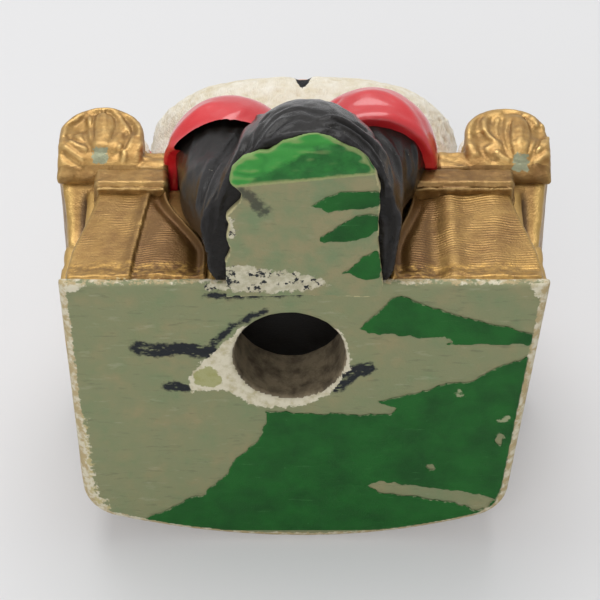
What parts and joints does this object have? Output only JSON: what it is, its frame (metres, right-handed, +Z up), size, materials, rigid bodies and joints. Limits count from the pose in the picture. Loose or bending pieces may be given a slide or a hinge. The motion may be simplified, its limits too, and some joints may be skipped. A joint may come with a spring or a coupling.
{
  "type": "chalkware figure",
  "caption": "Painted plaster figure of a robed person seated in a gilded armchair, hollow, with an open pour hole and a torn green covering under its base.",
  "frame": {"origin": "centre of the model's box in plan, on the plane of the underside", "axes": "+Z up, the figure faces -Y, +X is the figure's left"},
  "size_m": [0.1312, 0.1347, 0.168],
  "materials": {
    "gilt_plaster": "old gilt paint on cast plaster, brushed on and rubbed at the edges",
    "olive_plaster": "grey-olive paint on cast plaster, scuffed to the white",
    "green_covering": "torn green covering, glued down and worn",
    "black_paint": "black satin paint on cast plaster",
    "red_enamel": "glossy red paint on cast plaster",
    "cream_fur": "cream paint on plaster modelled as short fur",
    "flesh_paint": "flesh-coloured paint on cast plaster",
    "hair_paint": "grey-cream paint on cast plaster"
  },
  "bodies": {
    "root": {"baize_sheet": "green_covering", "floor_slab": "olive_plaster", "foot_tongue": "olive_plaster", "seat_block": "gilt_plaster", "left_front_post": "gilt_plaster", "right_front_post": "gilt_plaster", "left_side_wall": "gilt_plaster", "right_side_wall": "gilt_plaster", "left_arm_moulding": "gilt_plaster", "right_arm_moulding": "gilt_plaster", "left_arm_rest": "gilt_plaster", "right_arm_rest": "gilt_plaster", "left_arm_boss": "gilt_plaster", "right_arm_boss": "gilt_plaster", "chair_back": "gilt_plaster", "back_rim": "gilt_plaster", "gown": "black_paint", "left_knee_coat": "red_enamel", "right_knee_coat": "red_enamel", "torso": "black_paint", "mantle": "cream_fur", "left_sleeve": "red_enamel", "right_sleeve": "red_enamel", "left_hand": "flesh_paint", "right_hand": "flesh_paint", "collar": "cream_fur", "head": "flesh_paint", "hair": "hair_paint"}
  },
  "joints": []
}
